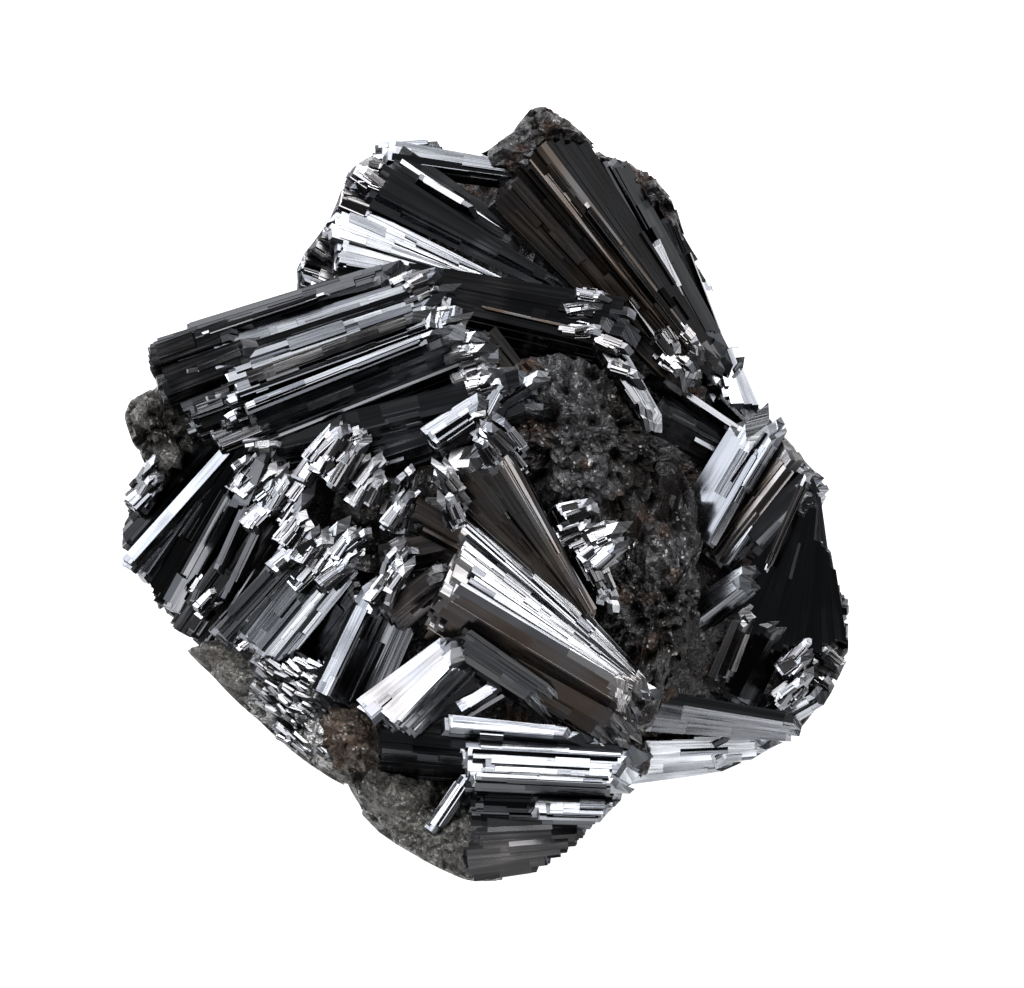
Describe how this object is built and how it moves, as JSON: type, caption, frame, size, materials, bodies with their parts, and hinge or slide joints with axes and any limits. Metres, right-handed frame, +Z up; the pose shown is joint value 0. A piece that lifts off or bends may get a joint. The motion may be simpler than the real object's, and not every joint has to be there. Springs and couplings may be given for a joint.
{
  "type": "mineral specimen",
  "caption": "Cluster of striated black prismatic crystals in diverging sheaves, grown on a granular base with a flat trimmed back.",
  "frame": {"origin": "middle of the flat trimmed back, on the plane that the specimen rests on", "axes": "+Z up from the trimmed back through the crystal side, +Y towards the picture's top, +X towards the picture's right"},
  "size_m": [0.0486, 0.0518, 0.0273],
  "materials": {
    "manganite": "submetallic, striated, with bright cleavage flashes"
  },
  "bodies": {
    "root": {"manganite_cluster": "manganite"}
  },
  "joints": []
}
